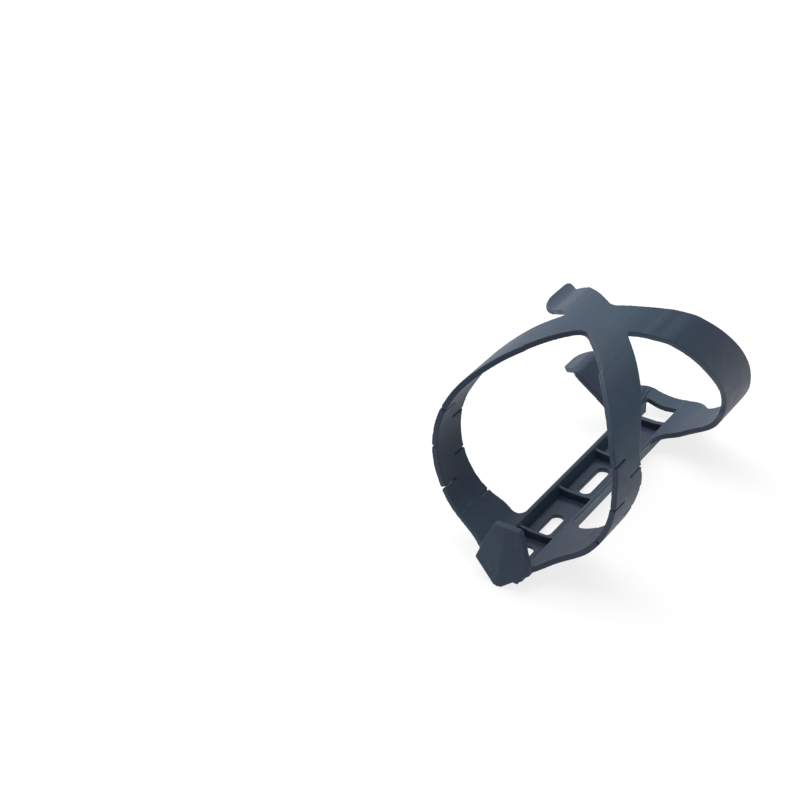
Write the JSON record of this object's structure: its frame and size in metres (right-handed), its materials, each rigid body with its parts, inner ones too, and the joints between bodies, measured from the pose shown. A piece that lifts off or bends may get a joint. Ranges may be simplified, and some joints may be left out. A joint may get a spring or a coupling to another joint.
{
  "type": "water bottle cage",
  "caption": "Moulded side-entry bicycle bottle cage: slotted channel spine with a foot stop, crossed notched straps, a closed side loop and a pair of flexing flared jaws.",
  "frame": {"origin": "on the flat underside of the spine's floor, on the centre line, between the second and third bolt slots", "axes": "+Y along the bottle from the foot stop to the mouth, +Z from the bicycle frame towards the bottle, +X towards the closed loop; the open jaw side is -X"},
  "size_m": [0.081, 0.1512, 0.0833],
  "materials": {
    "spine_floor": "satin, fine moulded grain",
    "spine_rail_left": "satin, fine moulded grain",
    "spine_rail_right": "satin, fine moulded grain",
    "spine_rib_1": "satin, fine moulded grain",
    "spine_rib_2": "satin, fine moulded grain",
    "spine_rib_3": "satin, fine moulded grain",
    "spine_end_wall": "satin, fine moulded grain",
    "spine_foot": "satin, fine moulded grain",
    "spine_bridge": "satin, fine moulded grain",
    "strap_left_root": "satin, fine moulded grain",
    "strap_left_side": "satin, fine moulded grain",
    "strap_left_rise": "satin, fine moulded grain",
    "strap_right_root": "satin, fine moulded grain",
    "strap_right_side": "satin, fine moulded grain",
    "strap_right_rise": "satin, fine moulded grain",
    "strap_crossing": "satin, fine moulded grain",
    "loop_root": "satin, fine moulded grain",
    "loop_low": "satin, fine moulded grain",
    "loop_side": "satin, fine moulded grain",
    "loop_high": "satin, fine moulded grain",
    "jaw_upper_arm": "satin, fine moulded grain",
    "jaw_upper_lip": "satin, fine moulded grain",
    "jaw_lower_arm": "satin, fine moulded grain",
    "jaw_lower_lip": "satin, fine moulded grain"
  },
  "bodies": {
    "frame": {"spine_floor": "spine_floor", "rail_left": "spine_rail_left", "rail_right": "spine_rail_right", "rib_1": "spine_rib_1", "rib_2": "spine_rib_2", "rib_3": "spine_rib_3", "end_wall": "spine_end_wall", "foot_stop": "spine_foot", "bridge_bar": "spine_bridge", "strap_left_root": "strap_left_root", "strap_left_side": "strap_left_side", "strap_left_rise": "strap_left_rise", "strap_right_root": "strap_right_root", "strap_right_side": "strap_right_side", "strap_right_rise": "strap_right_rise", "strap_crossing": "strap_crossing", "loop_root": "loop_root", "loop_low": "loop_low", "loop_side": "loop_side", "loop_high": "loop_high"},
    "upper_jaw": {"upper_arm": "jaw_upper_arm", "upper_lip": "jaw_upper_lip"},
    "lower_jaw": {"lower_arm": "jaw_lower_arm", "lower_lip": "jaw_lower_lip"}
  },
  "joints": [
    {"name": "upper_jaw_flex", "type": "hinge", "parent": "frame", "child": "upper_jaw", "pos_m": [-0.01689, 0.025, 0.07951], "axis": [0, 1, 0], "range_deg": [0, 12], "stiffness_Nm_per_rad": 3},
    {"name": "lower_jaw_flex", "type": "hinge", "parent": "frame", "child": "lower_jaw", "pos_m": [-0.01031, 0.071, 0.00639], "axis": [0, -1, 0], "range_deg": [0, 12], "stiffness_Nm_per_rad": 3}
  ]
}
